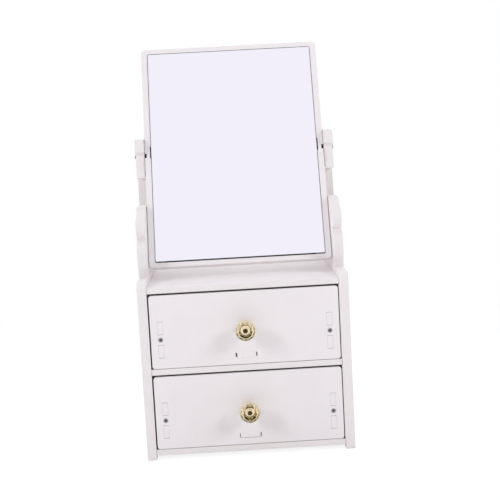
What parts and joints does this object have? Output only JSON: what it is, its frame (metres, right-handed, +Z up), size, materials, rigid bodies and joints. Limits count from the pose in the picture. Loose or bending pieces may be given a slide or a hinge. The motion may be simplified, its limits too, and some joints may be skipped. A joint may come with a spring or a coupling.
{
  "type": "vanity box with mirror",
  "caption": "Tabletop vanity box of white board with stacked drawers, crystal knobs and a mirror that tilts between scrolled side panels.",
  "frame": {"origin": "on the surface that the box stands on, under the middle of its outer box, knobs included", "axes": "+Z up, +X to the right as seen from the drawers' side, -Y the way the drawers open"},
  "size_m": [0.2118, 0.174, 0.4165],
  "materials": {
    "white_board": "white foamed board with a fine matt film, slightly warm in the cut edges",
    "mirror_silver": "clear silvered glass",
    "black_nylon": "black moulded nylon",
    "black_foam": "black adhesive foam",
    "dark_steel": "blackened steel",
    "grey_steel": "grey zinc-plated steel",
    "gilt": "bright gilt plating",
    "crystal": "clear faceted crystal"
  },
  "bodies": {
    "cabinet": {"side_panel_left": "white_board", "side_panel_right": "white_board", "bottom_board": "white_board", "middle_board": "white_board", "top_board": "white_board", "back_board": "white_board", "bottom_board_screw_left": "grey_steel", "bottom_board_screw_right": "grey_steel", "middle_board_screw_left": "grey_steel", "middle_board_screw_right": "grey_steel", "top_board_screw_left": "grey_steel", "top_board_screw_right": "grey_steel", "back_board_screw_left": "grey_steel", "back_board_screw_right": "grey_steel", "pivot_bush_left": "black_nylon", "pivot_bush_right": "black_nylon"},
    "mirror": {"mirror_board": "white_board", "mirror_glass": "mirror_silver", "glass_pad": "black_foam", "pivot_bolt_left": "dark_steel", "pivot_bolt_right": "dark_steel", "pivot_nut_left": "dark_steel", "pivot_nut_right": "dark_steel"},
    "drawer_upper": {"drawer_upper_front": "white_board", "drawer_upper_side_left": "white_board", "drawer_upper_side_right": "white_board", "drawer_upper_back": "white_board", "drawer_upper_floor": "white_board", "drawer_upper_front_screw_left": "grey_steel", "drawer_upper_front_screw_right": "grey_steel", "drawer_upper_rear_screw_left": "grey_steel", "drawer_upper_rear_screw_right": "grey_steel", "drawer_upper_knob_base": "gilt", "drawer_upper_knob_crystal": "crystal", "drawer_upper_knob_screw": "grey_steel"},
    "drawer_lower": {"drawer_lower_front": "white_board", "drawer_lower_side_left": "white_board", "drawer_lower_side_right": "white_board", "drawer_lower_back": "white_board", "drawer_lower_floor": "white_board", "drawer_lower_front_screw_left": "grey_steel", "drawer_lower_front_screw_right": "grey_steel", "drawer_lower_rear_screw_left": "grey_steel", "drawer_lower_rear_screw_right": "grey_steel", "drawer_lower_knob_base": "gilt", "drawer_lower_knob_crystal": "crystal", "drawer_lower_knob_screw": "grey_steel"}
  },
  "joints": [
    {"name": "mirror_tilt", "type": "hinge", "parent": "cabinet", "child": "mirror", "pos_m": [0, 0.034, 0.3022], "axis": [1, 0, 0], "continuous": true},
    {"name": "drawer_upper_slide", "type": "slide", "parent": "cabinet", "child": "drawer_upper", "axis": [0, -1, 0], "range_m": [0, 0.11]},
    {"name": "drawer_lower_slide", "type": "slide", "parent": "cabinet", "child": "drawer_lower", "axis": [0, -1, 0], "range_m": [0, 0.11]}
  ]
}
